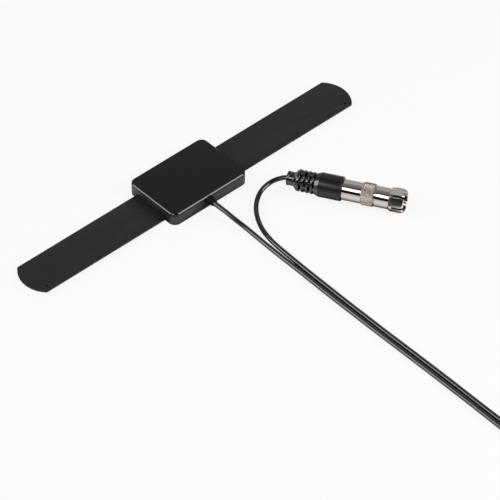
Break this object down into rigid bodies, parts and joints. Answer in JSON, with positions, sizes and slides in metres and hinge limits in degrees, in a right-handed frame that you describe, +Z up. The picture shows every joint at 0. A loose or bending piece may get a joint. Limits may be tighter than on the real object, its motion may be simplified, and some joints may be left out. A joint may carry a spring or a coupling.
{
  "type": "tv antenna",
  "caption": "Flat dipole tv antenna: dark sheet-metal arms out of the sides of a small flat case, with a thin coaxial lead, a moulded plug with ribbed strain relief and a metal push-on adapter.",
  "frame": {"origin": "centre of the underside of the case, midway between the tips of its two arms, without the cable and what is on it", "axes": "+X along the arms, +Y away from the side where the cable leaves, +Z up from the surface it lies on"},
  "size_m": [0.2122, 0.3094, 0.0125],
  "materials": {
    "lid_plastic": "satin gloss",
    "case_plastic": "fine texture",
    "soft_plastic": "satin",
    "painted_sheet": "matt paint",
    "brass": "bright",
    "board": "solder mask",
    "ferrite": "matt",
    "copper_wire": "enamelled",
    "chip": "matt",
    "tinned_steel": "tinned",
    "white_insulation": "satin",
    "cable_jacket": "satin",
    "tie_plastic": "matt",
    "nickel": "polished nickel"
  },
  "bodies": {
    "root": {"top_lid": "lid_plastic", "case_body": "case_plastic", "cable_gland": "soft_plastic", "left_arm": "painted_sheet", "right_arm": "painted_sheet", "contact_rivets": "brass", "holder_rivets": "brass", "circuit_board": "board", "balun_core": "ferrite", "balun_primary": "copper_wire", "balun_secondary": "copper_wire", "chip_components": "chip", "coax_clamp": "tinned_steel", "coax_braid": "tinned_steel", "coax_dielectric": "white_insulation", "coax_wire": "copper_wire", "cable_out": "cable_jacket", "cable_coil": "cable_jacket", "cable_back": "cable_jacket", "cable_tie": "tie_plastic", "plug_moulding": "soft_plastic", "plug_shell": "nickel", "plug_insulator": "white_insulation", "plug_pin": "nickel", "adapter_socket": "nickel", "adapter_collar": "nickel", "adapter_rear_insulator": "white_insulation", "adapter_front_insulator": "white_insulation", "adapter_contact": "brass"}
  },
  "joints": []
}
